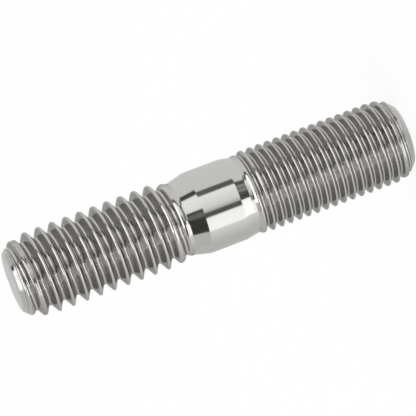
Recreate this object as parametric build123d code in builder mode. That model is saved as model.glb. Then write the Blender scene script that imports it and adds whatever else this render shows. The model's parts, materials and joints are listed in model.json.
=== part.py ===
from build123d import *
from math import atan2, ceil, degrees, radians, tan
import os

# Double ended stud: one steel bar with a rolled coarse thread on its upper end, a rolled fine
# thread on its lower end and a plain turned barrel between them. It stands on its fine end,
# with the origin at the middle of that end face and +Z along its axis. All sizes are in mm.
# The coarse thread is cut here in full. The fine thread's length is its plain envelope, out
# to its crests. An end's own heights are measured along the axis from that end's face.

# ---- fine end, with the envelope of a 3/8-24 UNF thread ----
fine_major_diameter = 9.40
fine_blank_diameter = 8.84  # of the bar that the thread is rolled into
fine_point_diameter = 6.84  # flat left on the end face inside the chamfer
fine_chamfer_diameter = 8.50  # where the chamfer gives way to the first crests
fine_swell_diameter = 9.20  # of the first crests, which aren't quite filled
fine_swell_height = 1.45
fine_filled_height = 2.6  # where the crests reach their full diameter
fine_crest_height = 17.9  # where the last full crest ends
fine_runout_height = 19.05  # where the last trace of thread meets the blank
fine_reach = 19.2  # where the blank ends and the barrel's lower cone starts

# ---- coarse end, with a 3/8-16 UNC thread ----
coarse_pitch = 25.4 / 16
coarse_major_diameter = 9.36
coarse_blank_diameter = 8.46
coarse_point_diameter = 6.60
coarse_chamfer_diameter = 8.10
coarse_swell_diameter = 9.06
coarse_swell_height = 2.0
coarse_filled_height = 3.5
coarse_crest_height = 18.1
coarse_root_height = 17.2  # where the groove starts to rise, on the +X side of the axis
coarse_runout_height = 19.8
coarse_reach = 20.0

# ---- thread form ----
flank_angle = 30.0  # of each flank, from a plane across the axis
depth_ratio = 0.6134  # depth of a rolled thread over its pitch
root_flat_ratio = 1 / 6  # flat at the bottom of the groove over its pitch
crest_overlap = 0.1  # how far the groove's form reaches out past the crests
runout_overlap = 0.03  # how far the end of the run-out lifts clear of the blank

# ---- barrel, and the cone at each end of it ----
barrel_diameter = 9.27
barrel_length = 4.25
lower_cone_height = 1.1
upper_cone_height = 1.45
shoulder_radius = 1.3  # blend where each cone meets the barrel
chamfer_angle = 45.0  # of both end chamfers, from the axis

barrel_bottom = fine_reach + lower_cone_height
barrel_top = barrel_bottom + barrel_length
neck_bottom = barrel_top + upper_cone_height
length = neck_bottom + coarse_reach


def chamfer_height(chamfer_diameter, point_diameter):
    """Return the height of an end's chamfer along the axis."""
    return (chamfer_diameter - point_diameter) / 2 / tan(radians(chamfer_angle))


def groove_cutter(height, climb=0):
    """Return a length of thread groove that starts on +X and climbs away from the axis."""
    root_radius = coarse_major_diameter / 2 - depth_ratio * coarse_pitch
    depth = coarse_major_diameter / 2 + crest_overlap - root_radius
    half_root = root_flat_ratio * coarse_pitch / 2
    half_mouth = half_root + depth * tan(radians(flank_angle))
    climb_angle = degrees(atan2(climb, height))
    with BuildPart() as cutter:
        with BuildLine() as path:
            Helix(coarse_pitch, height, root_radius, cone_angle=climb_angle)
        with BuildSketch(Plane.XZ.shift_origin((root_radius, 0, 0))):
            with BuildLine():
                Polyline(
                    (0, -half_root),
                    (depth, -half_mouth),
                    (depth, half_mouth),
                    (0, half_root),
                    close=True,
                )
            make_face()
        sweep(path=path.wire(), is_frenet=True)
    return cutter.part


# ---- blank: the bar's outline, out to the crests of both threads ----
# Its plane lies between the sides of the bar that the grooves start and end on.
outline_plane = Plane(origin=(0, 0, 0), x_dir=(1, 1, 0), z_dir=(1, -1, 0))
fine_chamfer_height = chamfer_height(fine_chamfer_diameter, fine_point_diameter)
coarse_chamfer_height = chamfer_height(coarse_chamfer_diameter, coarse_point_diameter)

with BuildPart() as blank:
    with BuildSketch(outline_plane):
        with BuildLine():
            fine_crests = Polyline(
                (0, barrel_bottom),
                (0, 0),
                (fine_point_diameter / 2, 0),
                (fine_chamfer_diameter / 2, fine_chamfer_height),
                (fine_swell_diameter / 2, fine_swell_height),
                (fine_major_diameter / 2, fine_filled_height),
                (fine_major_diameter / 2, fine_crest_height),
                (fine_blank_diameter / 2, fine_runout_height),
                (fine_blank_diameter / 2, fine_reach),
            )
            coarse_crests = Polyline(
                (coarse_blank_diameter / 2, neck_bottom),
                (coarse_blank_diameter / 2, length - coarse_runout_height),
                (coarse_major_diameter / 2, length - coarse_crest_height),
                (coarse_major_diameter / 2, length - coarse_filled_height),
                (coarse_swell_diameter / 2, length - coarse_swell_height),
                (coarse_chamfer_diameter / 2, length - coarse_chamfer_height),
                (coarse_point_diameter / 2, length),
                (0, length),
                (0, barrel_bottom),
            )
            FilletPolyline(
                fine_crests @ 1,
                (barrel_diameter / 2, barrel_bottom),
                (barrel_diameter / 2, barrel_top),
                coarse_crests @ 0,
                radius=shoulder_radius,
            )
        make_face()
    revolve(axis=Axis.Z)

# ---- thread groove: one full turn, repeated past the end face, and the run-out ----
groove_depth = depth_ratio * coarse_pitch
blank_depth = (coarse_major_diameter - coarse_blank_diameter) / 2
runout_climb = groove_depth - blank_depth + runout_overlap
runout_slope = (coarse_runout_height - coarse_root_height) / (groove_depth - blank_depth)
full_turn = groove_cutter(coarse_pitch)
runout = groove_cutter(runout_climb * runout_slope, runout_climb)

coarse_end = Plane(origin=(0, 0, length), x_dir=(1, 0, 0), z_dir=(0, 0, -1))
runout_start = coarse_end.offset(coarse_root_height)
turn_count = ceil(coarse_root_height / coarse_pitch) + 1
turn_starts = [runout_start.offset(-coarse_pitch * (i + 1)) for i in range(turn_count)]

# ---- stud: the blank with the coarse thread rolled into it ----
with BuildPart() as stud:
    add(blank.part)
    with Locations(*turn_starts):
        add(full_turn, mode=Mode.SUBTRACT)
    with Locations(runout_start):
        add(runout, mode=Mode.SUBTRACT)

os.makedirs("parts", exist_ok=True)
stud.part.label = "stud"
export_step(stud.part, "parts/stud.step")
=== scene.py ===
"""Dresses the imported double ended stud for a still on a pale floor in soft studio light.

The stud stands on its fine end, with the origin at the middle of that end face and +Z along
its axis. Lengths are in mm where a name ends in _mm or a class or method says so, and in
metres elsewhere. The visual body replaces the CAD solid. It has nearly the same outline, with a
slightly slimmer coarse neck, and both threads with rounded crests and roots. The solid leaves
the fine thread as a plain envelope.
"""

import json
import logging
import math
from dataclasses import dataclass, field
from enum import Enum, IntEnum
from typing import Optional

import bpy
import numpy as np
from mathutils import Matrix, Vector

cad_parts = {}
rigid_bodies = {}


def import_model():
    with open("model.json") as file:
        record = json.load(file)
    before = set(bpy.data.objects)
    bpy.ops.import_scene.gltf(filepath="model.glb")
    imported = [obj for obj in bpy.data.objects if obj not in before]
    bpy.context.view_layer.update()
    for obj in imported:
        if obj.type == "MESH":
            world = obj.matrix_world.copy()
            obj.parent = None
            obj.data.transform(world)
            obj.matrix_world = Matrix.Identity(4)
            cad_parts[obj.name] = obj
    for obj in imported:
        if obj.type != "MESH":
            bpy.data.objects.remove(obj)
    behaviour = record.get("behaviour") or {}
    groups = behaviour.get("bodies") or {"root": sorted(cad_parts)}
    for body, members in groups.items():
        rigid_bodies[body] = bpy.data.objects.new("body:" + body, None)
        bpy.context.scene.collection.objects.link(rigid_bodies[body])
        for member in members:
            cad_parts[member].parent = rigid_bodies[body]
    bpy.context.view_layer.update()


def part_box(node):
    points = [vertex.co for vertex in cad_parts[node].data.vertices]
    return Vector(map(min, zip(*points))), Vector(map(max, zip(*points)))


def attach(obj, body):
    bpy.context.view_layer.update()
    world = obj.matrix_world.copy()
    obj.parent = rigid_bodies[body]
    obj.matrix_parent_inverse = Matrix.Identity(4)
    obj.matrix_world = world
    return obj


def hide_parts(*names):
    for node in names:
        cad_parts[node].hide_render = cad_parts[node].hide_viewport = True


logging.basicConfig(level=logging.INFO, format="%(message)s")
LOG = logging.getLogger("stud")

MM = 0.001
TINY = 1e-6  # keeps a length in mm off zero
COLUMNS = 120  # vertices round the stud
ROUND_REACH = math.sin(math.pi / 3)  # from the middle of a rounding to a flank, over its radius

# where a noise's middle part starts and ends, to be spread over its full range
MOTTLE_SPAN = (0.3, 0.7)
SPECKLE_SPAN = (0.35, 0.65)
AROUND_STRETCH = (0.012, 0.012, 1.0)  # draws marks out round the axis
FLATTEN = (1.0, 1.0, 0.0)

# rows of a thread's mesh: shares of the pitch from the root, and of the crest's half width
ROOT_ROWS = (0, 0.03, 0.06, 0.09, 0.125, 0.145)
CREST_ROWS = (1.22, 1.0, 0.75, 0.48, 0.23)
CHAMFER_RINGS = 20
FACE_RING_RATIO = 0.45  # radius of the ring inside an end face over the face's radius
EDGE_MIDDLE = (0.29, 0.12)  # inset and height of a worn edge's middle over its radius
ON_CHAMFER = 1e-4  # how close in mm a place is to the chamfer that counts as on it


# ---- colours and nodes ----
def linear(hex_colour: str) -> tuple[float, float, float, float]:
    """Turns an sRGB hex colour into the linear colour that shaders take.

    Args:
        hex_colour: A colour such as "c8c8c4".

    Returns:
        Red, green, blue and alpha, each from 0 to 1.
    """
    channels = [int(hex_colour[i : i + 2], 16) / 255 for i in (0, 2, 4)]
    curve = [c / 12.92 if c <= 0.04045 else ((c + 0.055) / 1.055) ** 2.4 for c in channels]
    return (*curve, 1.0)


def add_node(tree: bpy.types.NodeTree, kind: str, **settings) -> bpy.types.Node:
    """Adds one node, sets its properties and inputs, and links it to others.

    Args:
        tree: The node tree that gets the node.
        kind: The node's Blender type name.
        **settings: A property's or input's value by its name, with _ for a space. An output
            socket as a value is linked. A key such as input_1 is an input by its place.

    Returns:
        The new node.
    """
    node = tree.nodes.new(kind)
    for key, value in settings.items():
        if hasattr(node, key):
            setattr(node, key, value)
            continue
        name = int(key[6:]) if key.startswith("input_") else key.replace("_", " ")
        if isinstance(value, bpy.types.NodeSocket):
            tree.links.new(value, node.inputs[name])
        else:
            node.inputs[name].default_value = value
    return node


def new_tree(owner: bpy.types.ID) -> bpy.types.NodeTree:
    """Gives a material or world an empty node tree.

    Args:
        owner: The material or world.

    Returns:
        Its node tree, with no nodes.
    """
    owner.use_nodes = True
    owner.node_tree.nodes.clear()
    return owner.node_tree


def blend_colours(
    tree: bpy.types.NodeTree, share: bpy.types.NodeSocket, first: object, second: object
) -> bpy.types.NodeSocket:
    """Mixes two colours.

    Args:
        tree: The node tree.
        share: The second colour's share, from 0 to 1.
        first: The first colour, as a value or a socket.
        second: The second colour, as a value or a socket.

    Returns:
        The mixed colour.
    """
    mix = add_node(
        tree, "ShaderNodeMix", data_type="RGBA", input_0=share, input_6=first, input_7=second
    )
    return mix.outputs["Result"]


# ---- finishes ----
class Grain(Enum):
    """Which way a finish's fine marks run."""

    AROUND = "around the axis, as left by a lathe or by rolling dies"
    RINGS = "in rings on an end face, as left by a facing tool"


@dataclass(frozen=True)
class SteelFinish:
    """Bare steel with the fine marks of one way of working it.

    Attributes:
        name: The material's name.
        colour: The steel's own colour in sRGB hex.
        stain: A slightly darker colour that mottles it.
        roughness: Lowest and highest roughness.
        grain: Which way the marks run.
        mark_mm: Typical spacing of the marks.
        mark_depth_mm: Height of the marks.
        mottle_mm: Size of the softer patches of colour and roughness.
        shade_film: Darkest and lightest grey of the darker film laid where the steel is not kept
            lighter, which is painted shade.
        speckle_mm: Size of the speckles in that film.
        edge_tint: Share of the light that the steel keeps at a grazing angle.
    """

    name: str
    colour: str
    stain: str
    roughness: tuple[float, float]
    grain: Grain
    mark_mm: float
    mark_depth_mm: float
    mottle_mm: float
    shade_film: Optional[tuple[str, str]] = None
    speckle_mm: float = 0.16
    edge_tint: float = 1.0

    def build(self) -> bpy.types.Material:
        """Makes the material.

        Returns:
            The finished material.
        """
        material = bpy.data.materials.new(self.name)
        tree = new_tree(material)
        place = add_node(tree, "ShaderNodeTexCoord").outputs["Object"]
        marks = add_node(
            tree,
            "ShaderNodeTexNoise",
            Vector=self.mark_place(tree, place),
            Scale=1.0,
            Detail=3.0,
            Roughness=0.6,
        )
        mottle = self.patches(tree, place, self.mottle_mm)
        polish = add_node(
            tree,
            "ShaderNodeMapRange",
            Value=mottle,
            input_1=MOTTLE_SPAN[0],
            input_2=MOTTLE_SPAN[1],
            input_3=self.roughness[0],
            input_4=self.roughness[1],
        )
        bump = add_node(
            tree,
            "ShaderNodeBump",
            Height=marks.outputs["Fac"],
            Strength=1.0,
            Distance=self.mark_depth_mm * MM,
        )
        shader = add_node(
            tree,
            "ShaderNodeBsdfPrincipled",
            Base_Color=self.tint(tree, place, mottle),
            Specular_Tint=(self.edge_tint, self.edge_tint, self.edge_tint, 1.0),
            Metallic=1.0,
            Roughness=polish.outputs["Result"],
            Normal=bump.outputs["Normal"],
        )
        add_node(tree, "ShaderNodeOutputMaterial", Surface=shader.outputs[0])
        LOG.info("material %s", self.name)
        return material

    def mark_place(
        self, tree: bpy.types.NodeTree, place: bpy.types.NodeSocket
    ) -> bpy.types.NodeSocket:
        """Stretches places along the grain, in units of the marks' spacing.

        Args:
            tree: The material's node tree.
            place: The place on the object.

        Returns:
            The stretched place.
        """
        across = add_node(
            tree,
            "ShaderNodeVectorMath",
            operation="SCALE",
            input_0=place,
            Scale=1 / (self.mark_mm * MM),
        )
        around = self.grain is Grain.AROUND
        scaled = add_node(
            tree,
            "ShaderNodeVectorMath",
            operation="MULTIPLY",
            input_0=across.outputs[0],
            input_1=AROUND_STRETCH if around else FLATTEN,
        )
        if around:
            return scaled.outputs[0]
        radius = add_node(
            tree, "ShaderNodeVectorMath", operation="LENGTH", input_0=scaled.outputs[0]
        )
        return add_node(tree, "ShaderNodeCombineXYZ", X=radius.outputs["Value"]).outputs[0]

    def patches(
        self, tree: bpy.types.NodeTree, place: bpy.types.NodeSocket, size_mm: float
    ) -> bpy.types.NodeSocket:
        """Makes a soft noise.

        Args:
            tree: The material's node tree.
            place: The place on the object.
            size_mm: Size of its patches in mm.

        Returns:
            The noise, from 0 to 1.
        """
        noise = add_node(
            tree, "ShaderNodeTexNoise", Vector=place, Scale=1 / (size_mm * MM), Detail=2.0
        )
        return noise.outputs["Fac"]

    def tint(
        self,
        tree: bpy.types.NodeTree,
        place: bpy.types.NodeSocket,
        mottle: bpy.types.NodeSocket,
    ) -> bpy.types.NodeSocket:
        """Makes the steel's colour, under its darker film of painted shade where it has one.

        Args:
            tree: The material's node tree.
            place: The place on the object.
            mottle: The noise that mottles the steel.

        Returns:
            The colour.
        """
        steel = blend_colours(tree, mottle, linear(self.colour), linear(self.stain))
        if not self.shade_film:
            return steel
        # the darker film is painted shade on the thread's flanks and first crests, and a painted
        # dark line along the chamfer's tool mark; the lighter steel left on crests and roots
        # paints their highlight lines
        spread = add_node(
            tree,
            "ShaderNodeMapRange",
            Value=self.patches(tree, place, self.speckle_mm),
            input_1=SPECKLE_SPAN[0],
            input_2=SPECKLE_SPAN[1],
        )
        darkest, lightest = self.shade_film
        shade_film = blend_colours(tree, spread.outputs["Result"], linear(darkest), linear(lightest))
        painted_light_share = add_node(tree, "ShaderNodeAttribute", attribute_name="painted_light_share")
        return blend_colours(tree, painted_light_share.outputs["Fac"], shade_film, steel)


# The real marks of rolling, turning and facing are too fine to show at the picture's scale, so
# all three are drawn coarser, 0.09 to 0.15 mm apart.
# Rolled steel gives the eye satin grey, finely speckled flanks, between thin bright lines on
# crests and roots. The flanks' darker film is painted shade, and the lighter steel kept on the
# crests and roots paints their thin highlight lines.
ROLLED_THREAD_STEEL = SteelFinish(
    name="rolled_thread_steel",
    colour="c4c3c1",
    stain="bab9b7",
    roughness=(0.09, 0.15),
    grain=Grain.AROUND,
    mark_mm=0.09,
    mark_depth_mm=0.0012,
    mottle_mm=1.2,
    # darker film on the flanks and first crests: painted shade
    shade_film=("8f8e8c", "b3b2b0"),
    edge_tint=0.7,
)
# Turned and polished steel gives the eye crisp, dark and bright reflections, with hardly a
# trace of the lathe's rings.
TURNED_BARREL_STEEL = SteelFinish(
    name="turned_barrel_steel",
    colour="c1c1c0",
    stain="bdbdbb",
    roughness=(0.09, 0.12),
    grain=Grain.AROUND,
    mark_mm=0.12,
    mark_depth_mm=0.0002,
    mottle_mm=2.5,
)
# Faced steel gives the eye an even, slightly softer sheen with faint rings. Along the fine
# groove that the tool left in the chamfer, a darker film paints a dark line across the
# chamfer's highlight.
FACED_END_STEEL = SteelFinish(
    name="faced_end_steel",
    colour="c1c1c0",
    stain="bbbab9",
    roughness=(0.1, 0.13),
    grain=Grain.RINGS,
    mark_mm=0.15,
    mark_depth_mm=0.0004,
    mottle_mm=1.5,
    # this darker film paints a dark line along the chamfer's tool mark, across its highlight
    shade_film=("7a7978", "8f8e8c"),
)


# ---- the stud's form ----
class Side(Enum):
    """Which end face a thread's heights are measured from."""

    LOWER = 1
    UPPER = -1


class Slot(IntEnum):
    """The material slots of the stud's mesh."""

    THREAD = 0
    BARREL = 1
    ENDS = 2


@dataclass(frozen=True)
class Thread:
    """One rolled right-hand thread, with its sizes in mm.

    Attributes:
        pitch: Distance between crests.
        major_radius: Radius of the full crests.
        blank_radius: Radius of the bar that it is rolled into.
        point_radius: Radius of the end face's flat.
        chamfer_radius: Where the chamfer gives way to the first crests.
        filled_height: Where the first crests reach their full radius.
        crest_height: Where the last full crest ends.
        root_height: Where a groove's middle lies on the +X side.
        rise_height: Where the groove starts to rise.
        runout_height: Where the last trace of thread ends.
        seam_depth: Depth of the seam along the first, under-filled crests.
        seam_width: Half width of that seam.
        mark_height: Where the chamfering tool left a fine groove.
        side: The end that heights are measured from.
        mark_depth: Depth of that groove.
        mark_width: Half width of that groove.
        mark_shade_reach: How far the darker film, a painted dark line, reaches from the groove's
            middle.
        mark_light_share: Share of lighter steel left under that film, from 0 to 1.
        crown_ratio: Rise of a crest's middle over the half width of its flat.
        depth_ratio: Depth of the full groove over the pitch.
        root_flat_ratio: Width of the groove's bottom over the pitch.
        crest_round_ratio: Radius of a full crest's edges over the pitch.
        faded_round_ratio: The same past the last full crest.
        unfilled_round_loss: How fast that radius falls as crests are less filled.
        least_round_share: Share of that radius that is always left.
        widest_crest_ratio: Largest half width of a crest's rows over the pitch.
        unfilled_crest_light: Share of lighter steel, which paints the highlight line, left on the
            least filled first crests, from 0 to 1; the rest is darker film, painted shade.
        crest_light_gain: How fast that is reached as crests are less filled.
        crest_light_reach: Half width kept lighter, a painted highlight line, over a crest's half
            width.
        root_light_ratio: Half width kept lighter, a painted highlight line, at a root over the
            pitch.
        flank_slope: Rise of a 60 degree thread's flank over its run along the axis.
    """

    pitch: float
    major_radius: float
    blank_radius: float
    point_radius: float
    chamfer_radius: float
    filled_height: float
    crest_height: float
    root_height: float
    rise_height: float
    runout_height: float
    seam_depth: float
    seam_width: float
    mark_height: float
    side: Side
    mark_depth: float = 0.035
    mark_width: float = 0.045
    # reach and share of the darker film that paints a dark line along the chamfer's mark
    mark_shade_reach: float = 0.05
    mark_light_share: float = 0.4
    crown_ratio: float = 0.22
    depth_ratio: float = 0.6134
    root_flat_ratio: float = 1 / 6
    crest_round_ratio: float = 0.1083
    faded_round_ratio: float = 0.3
    unfilled_round_loss: float = 1.6
    least_round_share: float = 0.4
    widest_crest_ratio: float = 0.27
    # shares and widths of lighter steel that paint the highlight lines on crests and roots
    unfilled_crest_light: float = 0.45
    crest_light_gain: float = 2.5
    crest_light_reach: float = 1.02
    root_light_ratio: float = 0.104
    flank_slope: float = math.sqrt(3)

    @property
    def chamfer_height(self) -> float:
        """Height of the 45 degree chamfer."""
        return self.chamfer_radius - self.point_radius

    @property
    def root_radius(self) -> float:
        """Radius of the full groove's lowest line."""
        return self.major_radius - self.depth_ratio * self.pitch

    @property
    def apex_radius(self) -> float:
        """Radius where the flanks would meet over a crest."""
        return self.root_radius + (1 - self.root_flat_ratio) / 2 * self.pitch * self.flank_slope

    def height(self, z: np.ndarray, length: float) -> np.ndarray:
        """Turns a height over the floor into one from this thread's end face."""
        return z if self.side is Side.LOWER else length - z

    def datum(self, length: float) -> float:
        """Returns the height over the floor of a groove's middle on the +X side."""
        return self.height(self.root_height, length)

    def unfilled(self, height: np.ndarray) -> np.ndarray:
        """Returns how far crests fall short of full ones, from 0 to 1 at the end face."""
        return np.clip((self.filled_height - height) / self.filled_height, 0, 1)

    def envelope(self, height: np.ndarray) -> np.ndarray:
        """Returns the crests' radius at heights from the end face."""
        low = np.maximum(height, self.chamfer_height)
        short = np.clip(
            (self.filled_height - low) / (self.filled_height - self.chamfer_height), 0, None
        )
        swell = self.major_radius - (self.major_radius - self.chamfer_radius) * short**2
        fade = np.clip(
            (height - self.crest_height) / (self.runout_height - self.crest_height), 0, 1
        )
        faded = self.major_radius - (self.major_radius - self.blank_radius) * fade
        return np.minimum(swell, faded)

    def rise(self, height: np.ndarray) -> np.ndarray:
        """Returns how far the groove has risen towards the blank at heights from the end face."""
        risen = (height - self.rise_height) / (self.runout_height - self.rise_height)
        return np.clip(risen, 0, 1)

    def rounding(self, height: np.ndarray, risen: np.ndarray) -> tuple[np.ndarray, np.ndarray]:
        """Works out the rounding of the crests at heights from the end face.

        Args:
            height: Heights from the end face in mm.
            risen: How far the groove beside them has risen, from 0 to 1.

        Returns:
            The radius of a crest's edges, and the half width of the flat between them.
        """
        apex = self.apex_radius + (self.blank_radius - self.root_radius) * risen
        over = np.clip(apex - self.envelope(height), TINY, None)
        share = 1 - self.unfilled_round_loss * self.unfilled(height)
        share = self.crest_round_ratio * np.clip(share, self.least_round_share, 1)
        share = np.where(height > self.crest_height, self.faded_round_ratio, share)
        bend = np.minimum(over, share * self.pitch)
        return bend, (over - bend) / self.flank_slope

    def crest_reach(self, height: np.ndarray) -> np.ndarray:
        """Returns the half width of the crests at heights from the end face."""
        bend, half_flat = self.rounding(height, self.rise(height))
        return np.minimum(half_flat + bend * ROUND_REACH, self.widest_crest_ratio * self.pitch)

    def surface(
        self, angle: np.ndarray, z: np.ndarray, length: float
    ) -> tuple[np.ndarray, np.ndarray]:
        """Works out the thread's surface at angles round the axis and heights over the floor.

        Args:
            angle: Angles round the axis in radians.
            z: Heights over the floor in mm.
            length: The stud's length in mm.

        Returns:
            The radius in mm, and each place's share of lighter steel against the darker film,
            from 0 on the flanks, painted shade, to 1 on the crests and roots, painted highlight
            lines.
        """
        height = self.height(z, length)
        phase = (z - self.datum(length)) / self.pitch - angle / (2 * math.pi)
        offset = (phase - np.round(phase)) * self.pitch
        from_root = np.abs(offset)
        from_crest = self.pitch / 2 - from_root
        risen = self.rise(height - self.side.value * offset)
        lift = (self.blank_radius - self.root_radius) * risen
        past_crest = offset - np.copysign(self.pitch / 2, offset)
        own_height = height - self.side.value * past_crest * (1 - risen)
        dome, top = self.crest(from_crest, own_height, risen)
        unfilled = self.unfilled(height)
        seam = self.seam_depth * unfilled * np.exp(-((from_crest / self.seam_width) ** 2))
        from_mark = height - self.mark_height
        mark = self.mark_depth * np.exp(-((from_mark / self.mark_width) ** 2))
        chamfer = self.point_radius + height - mark
        radius = np.where(from_crest < top, dome, self.groove(from_root) + lift)
        radius = np.minimum(np.maximum(radius, self.root_radius + lift) - seam, chamfer)
        # crests and roots keep lighter steel, painting their highlight lines; flanks and the first
        # crests get more of the darker film, painted shade
        crest_light = 1 - (1 - self.unfilled_crest_light) * np.clip(self.crest_light_gain * unfilled, 0, 1)
        painted_light_share = np.where(from_crest < top * self.crest_light_reach, crest_light, 0)
        painted_light_share = np.where(from_root < self.root_light_ratio * self.pitch, 1, painted_light_share)
        # along the chamfer's tool mark the darker film paints a dark line across the chamfer's
        # highlight
        chamfer_light = np.where(np.abs(from_mark) < self.mark_shade_reach, self.mark_light_share, 1)
        return radius, np.where(radius >= chamfer - ON_CHAMFER, chamfer_light, painted_light_share)

    def groove(self, from_root: np.ndarray) -> np.ndarray:
        """Returns the full groove's radius at distances along the axis from its middle."""
        half_root = self.root_flat_ratio * self.pitch / 2
        bowl_radius = self.flank_slope * half_root  # it touches both flanks
        bowl = self.root_radius + bowl_radius
        bowl = bowl - np.sqrt(np.clip(bowl_radius**2 - from_root**2, 0, None))
        flank = self.root_radius + (from_root - half_root) * self.flank_slope
        return np.where(from_root < bowl_radius * ROUND_REACH, bowl, flank)

    def crest(
        self, from_crest: np.ndarray, height: np.ndarray, risen: np.ndarray
    ) -> tuple[np.ndarray, np.ndarray]:
        """Works out the top of the crests.

        Args:
            from_crest: Distances along the axis from the crest's middle in mm.
            height: Heights from the end face in mm.
            risen: How far the groove beside them has risen, from 0 to 1.

        Returns:
            The radius in mm, and how far from its middle the crest meets its flanks.
        """
        bend, half_flat = self.rounding(height, risen)
        crown = self.crown_ratio * half_flat
        crown = crown * np.clip(from_crest / np.maximum(half_flat, TINY), 0, 1) ** 2
        start = half_flat + crown / self.flank_slope
        along = np.clip(from_crest - start, 0, bend)
        dome = self.envelope(height) - crown - bend + np.sqrt(bend**2 - along**2)
        return dome, start + bend * ROUND_REACH

    def radius(self, angle: np.ndarray, z: np.ndarray, length: float) -> np.ndarray:
        """Returns the surface's radius at angles round the axis and heights over the floor."""
        return self.surface(angle, z, length)[0]


FINE = Thread(
    pitch=25.4 / 24,
    major_radius=4.697,
    blank_radius=4.42,
    point_radius=3.42,
    chamfer_radius=4.25,
    filled_height=2.6,
    crest_height=17.9,
    root_height=17.77,
    rise_height=17.77,
    runout_height=19.05,
    seam_depth=0.06,
    seam_width=0.06,
    mark_height=0.5,
    side=Side.LOWER,
)
COARSE = Thread(
    pitch=25.4 / 16,
    major_radius=4.68,
    blank_radius=4.16,
    point_radius=3.30,
    chamfer_radius=4.05,
    filled_height=3.5,
    crest_height=17.3,
    root_height=17.2,
    rise_height=18.3,
    runout_height=19.6,
    seam_depth=0.1,
    seam_width=0.1,
    mark_height=0.45,
    side=Side.UPPER,
)


@dataclass
class Skin:
    """Vertices and faces of the stud's surface, gathered band by band from the lower end.

    Attributes:
        columns: Vertices round the stud.
        points: Vertex places in mm.
        painted_light_share: Each vertex's share of lighter steel against the darker film of
        painted shade, from 0 to 1.
        faces: Vertex numbers of each face.
        finishes: The material slot of each face.
    """

    columns: int = COLUMNS
    points: list[list[float]] = field(default_factory=list)
    painted_light_share: list[float] = field(default_factory=list)
    faces: list[list[int]] = field(default_factory=list)
    finishes: list[Slot] = field(default_factory=list)

    def angles(self) -> np.ndarray:
        """Returns the angle of each column."""
        return np.arange(self.columns) * 2 * math.pi / self.columns

    def add_points(
        self,
        radii: np.ndarray,
        z: np.ndarray,
        angles: np.ndarray,
        painted_light_share: Optional[np.ndarray] = None,
    ) -> list[int]:
        """Adds vertices.

        Args:
            radii: Their distances from the axis in mm.
            z: Their heights over the floor in mm.
            angles: Their angles round the axis in radians.
            painted_light_share: Each one's share of lighter steel against the darker film of
                painted
            shade, or None where all of them are lighter steel.

        Returns:
            Their numbers.
        """
        first = len(self.points)
        places = np.stack([radii * np.cos(angles), radii * np.sin(angles), z], axis=-1)
        self.points.extend(places.reshape(-1, 3).tolist())
        self.painted_light_share.extend((np.ones(len(places)) if painted_light_share is None else painted_light_share).tolist())
        return list(range(first, len(self.points)))

    def add_face(self, corners: list[int], finish: Slot) -> None:
        """Adds a face without its repeated corners, or nothing if fewer than 3 are left."""
        kept = [c for i, c in enumerate(corners) if c != corners[i - 1]]
        if len(set(kept)) == len(kept) and len(kept) > 2:
            self.faces.append(kept)
            self.finishes.append(finish)

    def ring(
        self, radii: np.ndarray, z: float, painted_light_share: Optional[np.ndarray] = None
    ) -> list[int]:
        """Adds one ring of vertices and returns their numbers."""
        return self.add_points(radii, np.full(self.columns, z), self.angles(), painted_light_share)

    def join(self, lower: list[int], upper: list[int], finish: Slot) -> None:
        """Adds the faces between two rings."""
        for i in range(self.columns):
            j = (i + 1) % self.columns
            self.add_face([lower[i], lower[j], upper[j], upper[i]], finish)

    def cap(self, ring: list[int], z: float, upward: bool, finish: Slot) -> None:
        """Closes a ring with a fan of triangles."""
        (centre,) = self.add_points(np.zeros(1), np.full(1, z), np.zeros(1))
        for i in range(self.columns):
            j = (i + 1) % self.columns
            pair = [ring[i], ring[j]] if upward else [ring[j], ring[i]]
            self.add_face([*pair, centre], finish)

    def turn_rows(self, thread: Thread, length: float, turn: int) -> list[np.ndarray]:
        """Returns the rows of one turn of a thread, each with a number of turns per column."""
        twist = self.angles() / (2 * math.pi)
        crest = thread.datum(length) + (turn + 0.5 + twist) * thread.pitch
        reach = thread.crest_reach(thread.height(crest, length)) / thread.pitch
        below = [np.full(self.columns, phase) for phase in ROOT_ROWS]
        below.append((ROOT_ROWS[-1] + 0.5 - CREST_ROWS[0] * reach) / 2)
        below += [0.5 - share * reach for share in CREST_ROWS]
        above = [1 - phase for phase in below[:0:-1]]
        return [turn + phase for phase in [*below, np.full(self.columns, 0.5), *above]]

    def lattice(
        self, thread: Thread, length: float, low: float, high: float, lower: list[int]
    ) -> list[int]:
        """Adds a thread's surface, with rows that follow its helix.

        Args:
            thread: The thread.
            length: The stud's length in mm.
            low: Height over the floor in mm of the ring that it starts from.
            high: Height over the floor in mm of the ring that it ends on.
            lower: The ring that it starts from.

        Returns:
            The ring that it ends on.
        """
        datum = thread.datum(length)
        first = math.floor((low - datum) / thread.pitch) - 2
        last = math.ceil((high - datum) / thread.pitch) + 1
        angles = self.angles()
        twist = angles / (2 * math.pi)
        turns = [self.turn_rows(thread, length, turn) for turn in range(first, last + 1)]
        rows = [row for turn in turns for row in turn]
        starts = np.array(rows)
        z = datum + (starts + twist[None, :]) * thread.pitch
        upper = self.ring(thread.radius(angles, np.full(self.columns, high), length), high)
        numbers = np.empty(z.shape, int)
        numbers[:] = np.where(z <= low, np.array(lower)[None, :], np.array(upper)[None, :])
        inside = (z > low) & (z < high)
        wide = np.broadcast_to(angles[None, :], z.shape)
        radii, painted_light_share = thread.surface(wide[inside], z[inside], length)
        numbers[inside] = self.add_points(radii, z[inside], wide[inside], painted_light_share)
        per_turn = len(turns[0])
        for k in range(len(starts) - 1):
            for i in range(self.columns):
                j = (i + 1) % self.columns
                step = per_turn if j == 0 else 0
                if k + 1 + step >= len(starts):
                    continue
                corners = [
                    numbers[k][i],
                    numbers[k + step][j],
                    numbers[k + 1 + step][j],
                    numbers[k + 1][i],
                ]
                self.add_face([int(c) for c in corners], Slot.THREAD)
        return upper


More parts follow.
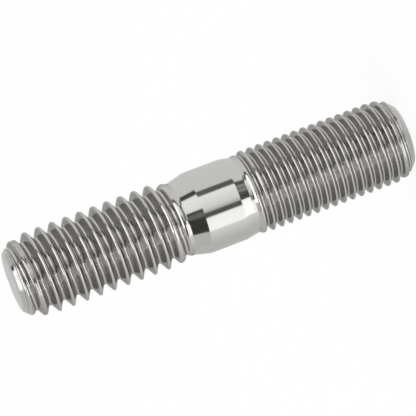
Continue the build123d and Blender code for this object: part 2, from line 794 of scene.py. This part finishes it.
@dataclass
class StudBody:
    """The whole stud as one mesh.

    Attributes:
        length: The stud's length in mm, from the CAD box.
        barrel_radius: Radius of the plain barrel in mm.
        barrel: Lower and upper end of the barrel in mm.
        cones: Height in mm of the lower and of the upper cone.
        shoulder_radius: Radius in mm of the blend at each end of a cone.
        edge: Radius in mm of the worn edge round each end face.
        support: How far in mm the mesh's lines beside each blend stand off.
    """

    length: float
    barrel_radius: float = 4.635
    barrel: tuple[float, float] = (20.3, 24.55)
    cones: tuple[float, float] = (1.1, 1.85)
    shoulder_radius: float = 1.3
    edge: float = 0.07
    support: float = 0.03

    def end_rings(
        self, skin: Skin, thread: Thread, joined: Optional[list[int]] = None
    ) -> list[int]:
        """Adds an end face, its worn edge and its chamfer.

        Args:
            skin: The mesh under construction.
            thread: The thread that the end belongs to.
            joined: The last ring below the upper end, or None at the lower end.

        Returns:
            The last ring added: at the lower end, the one that its thread starts from.
        """
        angles = skin.angles()
        heights = np.linspace(0, thread.chamfer_height, CHAMFER_RINGS)[1:]
        inset, lift = (share * self.edge for share in EDGE_MIDDLE)
        profile = [
            (FACE_RING_RATIO * thread.point_radius, 0.0),
            (thread.point_radius - self.edge, 0.0),
            (thread.point_radius - inset, lift),
        ]
        rings = [(np.full(skin.columns, r), h, np.ones(skin.columns)) for r, h in profile]
        for h in heights:
            z = np.full(skin.columns, thread.height(h, self.length))
            radii, painted_light_share = thread.surface(angles, z, self.length)
            rings.append((radii, h, painted_light_share))
        if thread.side is Side.LOWER:
            numbers = [skin.ring(*ring) for ring in rings]
            skin.cap(numbers[0], 0.0, False, Slot.ENDS)
            for a, b in zip(numbers, numbers[1:]):
                skin.join(a, b, Slot.ENDS)
            return numbers[-1]
        ring = joined
        for radii, h, painted_light_share in reversed(rings[:-1]):
            above = skin.ring(radii, self.length - h, painted_light_share)
            skin.join(ring, above, Slot.ENDS)
            ring = above
        skin.cap(ring, self.length, True, Slot.ENDS)
        return ring

    def middle_profile(self) -> list[tuple[float, float]]:
        """Returns radius and height pairs in mm of the barrel, its blends and its cones."""
        low, high = self.barrel
        corners = [
            (FINE.blank_radius, FINE.runout_height),
            (FINE.blank_radius, low - self.cones[0]),
            (self.barrel_radius, low),
            (self.barrel_radius, high),
            (COARSE.blank_radius, high + self.cones[1]),
            (COARSE.blank_radius, self.length - COARSE.runout_height),
        ]
        profile = []
        for before, corner, after in zip(corners, corners[1:], corners[2:]):
            profile += self.blend(before, corner, after)
        return profile

    def blend(
        self,
        before: tuple[float, float],
        corner: tuple[float, float],
        after: tuple[float, float],
        steps: int = 5,
    ) -> list[tuple[float, float]]:
        """Rounds a corner of the outline.

        Args:
            before: Radius and height in mm of the corner before it.
            corner: Radius and height of the corner.
            after: Radius and height of the corner after it.
            steps: Number of points along the arc.

        Returns:
            Radius and height of the arc's points, and of one more point beside each end.
        """
        a, b, c = (np.array(p) for p in (before, corner, after))
        into, out = (a - b) / np.linalg.norm(a - b), (c - b) / np.linalg.norm(c - b)
        turn = math.pi - math.acos(float(np.clip(into @ out, -1, 1)))
        reach = self.shoulder_radius * math.tan(turn / 2)
        middle = (into + out) / np.linalg.norm(into + out)
        centre = b + middle * self.shoulder_radius / math.cos(turn / 2)
        start, end = b + into * reach - centre, b + out * reach - centre
        points = [tuple(centre + start + into * self.support)]
        for t in np.linspace(0, 1, steps):
            mixed = start * (1 - t) + end * t
            points.append(tuple(centre + mixed / np.linalg.norm(mixed) * self.shoulder_radius))
        return [*points, tuple(centre + end + out * self.support)]

    def build(self) -> bpy.types.Object:
        """Makes the mesh object.

        Returns:
            The stud, with three material slots: thread, barrel and ends.
        """
        skin = Skin()
        ring = self.end_rings(skin, FINE)
        ring = skin.lattice(FINE, self.length, FINE.chamfer_height, FINE.runout_height, ring)
        for radius, z in self.middle_profile():
            above = skin.ring(np.full(skin.columns, radius), z)
            skin.join(ring, above, Slot.BARREL)
            ring = above
        neck = self.length - COARSE.runout_height
        above = skin.ring(np.full(skin.columns, COARSE.blank_radius), neck)
        skin.join(ring, above, Slot.BARREL)
        high = self.length - COARSE.chamfer_height
        ring = skin.lattice(COARSE, self.length, neck, high, above)
        self.end_rings(skin, COARSE, ring)
        mesh = bpy.data.meshes.new("stud_body")
        mesh.from_pydata((np.array(skin.points) * MM).tolist(), [], skin.faces)
        mesh.polygons.foreach_set("material_index", skin.finishes)
        mesh.polygons.foreach_set("use_smooth", [True] * len(skin.faces))
        # each vertex's share of lighter steel against the darker film, which paints shade and
        # highlight lines
        mesh.attributes.new("painted_light_share", "FLOAT", "POINT").data.foreach_set("value", skin.painted_light_share)
        mesh.validate()
        mesh.update()
        body = bpy.data.objects.new("stud_body", mesh)
        bpy.context.scene.collection.objects.link(body)
        for finish in (ROLLED_THREAD_STEEL, TURNED_BARREL_STEEL, FACED_END_STEEL):
            mesh.materials.append(finish.build())
        triangles = sum(len(p.vertices) - 2 for p in mesh.polygons)
        LOG.info("piece stud_body: %d triangles", triangles)
        return body


# ---- studio ----
@dataclass(frozen=True)
class Panel:
    """One softbox, flag or screen of the studio, as the stud's reflections show it.

    Attributes:
        name: What it is.
        azimuth: From and to, in degrees anticlockwise from +X.
        elevation: From and to, in degrees over the horizon.
        brightness: At its first and at its last azimuth, where plain white is 1.
        soft: Width in degrees of its edges.
    """

    name: str
    azimuth: tuple[float, float]
    elevation: tuple[float, float]
    brightness: tuple[float, float]
    soft: float = 2.0

    def cover(self, azimuth: np.ndarray, elevation: np.ndarray) -> np.ndarray:
        """Returns how much of it lies in each direction, from 0 to 1."""
        middle = sum(self.azimuth) / 2
        across = np.abs((azimuth - middle + 180) % 360 - 180)
        inside = (self.azimuth[1] - self.azimuth[0]) / 2 - across
        above = elevation - self.elevation[0]
        below = self.elevation[1] - elevation
        edges = [np.clip(0.5 + side / self.soft, 0, 1) for side in (inside, above, below)]
        return edges[0] * edges[1] * edges[2]

    def glow(self, azimuth: np.ndarray) -> np.ndarray:
        """Returns its brightness at each azimuth."""
        first, last = self.azimuth
        along = (azimuth - first + 90) % 360 - 90
        return np.interp(along, [0, last - first], self.brightness)


PANELS = (
    Panel("rear_screen", (190, 260), (-90, 70), (1.0, 0.7), 4),
    Panel("right_screen", (260, 330), (-90, 5), (0.68, 0.84), 4),
    Panel("right_screen_near", (330, 371), (-90, 5), (0.84, 1.22), 4),
    Panel("upper_screen", (240, 371), (5, 70), (0.7, 0.84), 4),
    Panel("ceiling", (0, 360), (28, 90), (0.8, 0.8), 6),
    Panel("front_softbox", (72, 109), (-21, 5.5), (1.16, 1.48)),
    Panel("front_softbox_side", (61, 73), (-21, 5.5), (0.7, 1.17)),
    Panel("front_softbox_top", (77, 117), (5.5, 28), (1.3, 1.44)),
    Panel("left_flag", (109, 124.5), (-21, 5.5), (0.16, 0.16)),
    Panel("left_flag_top", (119.5, 133.5), (5.5, 28), (0.08, 0.08)),
    Panel("left_flag_foot", (102, 116), (-45, -21), (0.14, 0.14)),
    Panel("right_flag", (47, 61), (-21, 5.5), (0.13, 0.13)),
    Panel("right_flag_top", (8, 56), (5.5, 28), (0.06, 0.06)),
    Panel("right_flag_rim", (56, 66), (5.5, 28), (0.2, 0.2)),
    Panel("right_flag_edge", (66, 76.5), (5.5, 28), (0.1, 0.1)),
    Panel("key_softbox", (8, 46.5), (-21, 5.5), (1.74, 1.66)),
    Panel("key_softbox_foot", (8, 58), (-60, -21), (2.1, 1.8)),
    Panel("table_edge", (59, 84), (-45, -21), (0.04, 0.18)),
    Panel("table_gap", (84, 101), (-45, -21), (0.32, 0.3), 8),
    Panel("overhead_front", (34, 126), (28, 44), (2.5, 2.5)),
    Panel("overhead_middle", (26, 137), (44, 58), (2.5, 2.5)),
    Panel("overhead_rear", (10, 152), (58, 70), (2.3, 2.3)),
    Panel("overhead_top", (-19, 161), (70, 91), (2.1, 2.1)),
    Panel("overhead_top_gap", (52, 128), (69, 80), (0.85, 0.85), 3),
    Panel("overhead_frame_front", (126, 137), (28, 44), (0.1, 0.1)),
    Panel("overhead_frame_middle", (137, 152), (44, 58), (0.1, 0.1)),
    Panel("overhead_frame_rear", (155, 176), (60, 69), (0.05, 0.05)),
)


@dataclass(frozen=True)
class Surround:
    """The studio all round the stud, which only its reflections show.

    Attributes:
        panels: What stands in it, each in front of those before it.
        distance: How far it is from the stud.
        step: Spacing of its vertices in degrees.
        turn: How far all of it is turned about the stud, in degrees.
        tint: The colour of its light.
    """

    panels: tuple[Panel, ...] = PANELS
    distance: float = 1.2
    step: float = 1.5
    turn: float = 1.3
    tint: str = "fffefc"

    def build(self, centre: Vector) -> bpy.types.Object:
        """Makes the surround as a sphere round a point.

        Args:
            centre: The point.

        Returns:
            The sphere, which only glossy rays see.
        """
        azimuths = np.arange(0, 360, self.step)
        elevations = np.arange(-90 + self.step / 2, 90, self.step)
        a, e = (grid.ravel() for grid in np.meshgrid(azimuths, elevations))
        brightness = np.ones_like(a)
        for panel in self.panels:
            cover = panel.cover(a - self.turn, e)
            brightness = brightness * (1 - cover) + panel.glow(a - self.turn) * cover
        ar, er = np.radians(a), np.radians(e)
        rays = np.stack([np.cos(er) * np.cos(ar), np.cos(er) * np.sin(ar), np.sin(er)], 1)
        points = np.array(centre) + rays * self.distance
        columns, rows = len(azimuths), len(elevations)
        faces = [
            (r * columns + c, r * columns + d, (r + 1) * columns + d, (r + 1) * columns + c)
            for r in range(rows - 1)
            for c, d in zip(range(columns), [*range(1, columns), 0])
        ]
        faces += [tuple(range(columns)), tuple(range(columns * (rows - 1), columns * rows))]
        mesh = bpy.data.meshes.new("studio_surround")
        mesh.from_pydata(points.tolist(), [], faces)
        mesh.attributes.new("glow", "FLOAT", "POINT").data.foreach_set("value", brightness)
        surround = bpy.data.objects.new("studio_surround", mesh)
        bpy.context.scene.collection.objects.link(surround)
        mesh.materials.append(self.build_light())
        surround.visible_camera = False
        surround.visible_diffuse = False
        surround.visible_shadow = False
        surround.visible_transmission = False
        return surround

    def build_light(self) -> bpy.types.Material:
        """Makes the light that the surround gives to reflections."""
        material = bpy.data.materials.new("studio_surround_light")
        tree = new_tree(material)
        glow = add_node(tree, "ShaderNodeAttribute", attribute_name="glow")
        light = add_node(
            tree, "ShaderNodeEmission", Color=linear(self.tint), Strength=glow.outputs["Fac"]
        )
        add_node(tree, "ShaderNodeOutputMaterial", Surface=light.outputs[0])
        material.cycles.emission_sampling = "NONE"
        return material


@dataclass
class Studio:
    """The white studio: world, floor, lamp and surround.

    Attributes:
        centre: The middle of the stud.
        floor_size: Width of the floor.
        paper_tone: How much light the floor's paper sends back.
        glow_share: Share of the floor's look that is plain white, the rest taking the shadow.
        lamp_size: Width of the overhead lamp.
        lamp_power: Its power in watts.
        lamp_offset: Where it is from the stud's middle.
    """

    centre: Vector
    floor_size: float = 6.0
    paper_tone: float = 0.9
    glow_share: float = 0.88
    lamp_size: float = 1.0
    lamp_power: float = 2.0
    lamp_offset: tuple[float, float, float] = (0.3, 0.4, 1.3)

    def white_rays(self, tree: bpy.types.NodeTree) -> bpy.types.NodeSocket:
        """Returns a socket that is 1 for camera, glossy and transmission rays."""
        rays = add_node(tree, "ShaderNodeLightPath").outputs
        most = rays["Is Camera Ray"]
        for name in ("Is Glossy Ray", "Is Transmission Ray"):
            either = add_node(
                tree, "ShaderNodeMath", operation="MAXIMUM", input_0=most, input_1=rays[name]
            )
            most = either.outputs[0]
        return most

    def build_world(self) -> None:
        """Makes the plain white surround that the floor runs into."""
        world = bpy.data.worlds.new("white_studio")
        bpy.context.scene.world = world
        tree = new_tree(world)
        back = add_node(tree, "ShaderNodeBackground", Color=(1.0, 1.0, 1.0, 1.0), Strength=1.0)
        add_node(tree, "ShaderNodeOutputWorld", Surface=back.outputs[0])

    def build_floor(self) -> bpy.types.Object:
        """Makes the pale floor, which shows white and keeps a faint shadow."""
        half = self.floor_size / 2
        corners = [(-half, -half, 0), (half, -half, 0), (half, half, 0), (-half, half, 0)]
        mesh = bpy.data.meshes.new("floor")
        mesh.from_pydata(corners, [], [(0, 1, 2, 3)])
        floor = bpy.data.objects.new("floor", mesh)
        bpy.context.scene.collection.objects.link(floor)
        material = bpy.data.materials.new("white_floor_paper")
        tree = new_tree(material)
        tone = self.paper_tone
        paper = add_node(tree, "ShaderNodeBsdfDiffuse", Color=(tone, tone, tone, 1.0))
        glow = add_node(tree, "ShaderNodeEmission", Strength=1.0)
        share = add_node(
            tree,
            "ShaderNodeMath",
            operation="MULTIPLY",
            input_0=self.white_rays(tree),
            input_1=self.glow_share,
        )
        mixed = add_node(
            tree,
            "ShaderNodeMixShader",
            Fac=share.outputs[0],
            input_1=paper.outputs[0],
            input_2=glow.outputs[0],
        )
        add_node(tree, "ShaderNodeOutputMaterial", Surface=mixed.outputs[0])
        mesh.materials.append(material)
        floor.visible_glossy = False
        return floor

    def build_lamp(self) -> None:
        """Makes one broad overhead lamp, for the soft shadow on the floor."""
        lamp = bpy.data.lights.new("overhead_lamp", "AREA")
        lamp.shape = "SQUARE"
        lamp.size = self.lamp_size
        lamp.energy = self.lamp_power
        holder = bpy.data.objects.new("overhead_lamp", lamp)
        bpy.context.scene.collection.objects.link(holder)
        holder.location = self.centre + Vector(self.lamp_offset)
        holder.rotation_euler = (self.centre - holder.location).to_track_quat("-Z", "Y").to_euler()
        holder.visible_glossy = False

    def build(self) -> None:
        """Makes the whole studio."""
        self.build_world()
        self.build_lamp()
        surround = Surround()
        self.build_floor()
        surround.build(self.centre)
        LOG.info("studio: floor and a surround of %d panels", len(surround.panels))


@dataclass(frozen=True)
class ViewPoint:
    """The camera, rolled so that the standing stud lies across the picture.

    Attributes:
        target: The point that it looks at.
        distance: How far it is from that point.
        azimuth: Its direction from the target, in degrees anticlockwise from +X.
        elevation: Its height over the target, in degrees.
        roll: Its turn about its own line of sight, in degrees.
        lens: Focal length in mm.
        sensor: Width of the sensor in mm.
        clip: Nearest and farthest distance that it sees.
    """

    target: Vector
    distance: float
    azimuth: float
    elevation: float
    roll: float
    lens: float
    sensor: float = 36.0
    clip: tuple[float, float] = (0.01, 20.0)

    def build(self) -> bpy.types.Object:
        """Makes the camera, and makes it the scene's camera."""
        a, e = math.radians(self.azimuth), math.radians(self.elevation)
        back = Vector((math.cos(e) * math.cos(a), math.cos(e) * math.sin(a), math.sin(e)))
        data = bpy.data.cameras.new("camera")
        data.lens = self.lens
        data.sensor_width = self.sensor
        camera = bpy.data.objects.new("camera", data)
        bpy.context.scene.collection.objects.link(camera)
        level = (-back).to_track_quat("-Z", "Y").to_matrix().to_4x4()
        turned = level @ Matrix.Rotation(math.radians(self.roll), 4, "Z")
        camera.matrix_world = Matrix.Translation(self.target + back * self.distance) @ turned
        data.clip_start, data.clip_end = self.clip
        bpy.context.scene.camera = camera
        return camera


def main() -> None:
    """Loads the frame, builds the stud, its studio and the camera."""
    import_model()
    bpy.context.scene.view_settings.view_transform = "Standard"
    low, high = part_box("stud")
    body = StudBody(length=(high.z - low.z) / MM).build()
    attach(body, "root")
    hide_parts("stud")
    centre = (low + high) / 2
    Studio(centre).build()
    ViewPoint(
        target=Vector((-0.000077, 0.000026, 0.023158)),
        distance=0.34488,
        azimuth=71.12,
        elevation=10.2,
        roll=-110.74,
        lens=274.8,
    ).build()


if __name__ == "__main__":
    main()
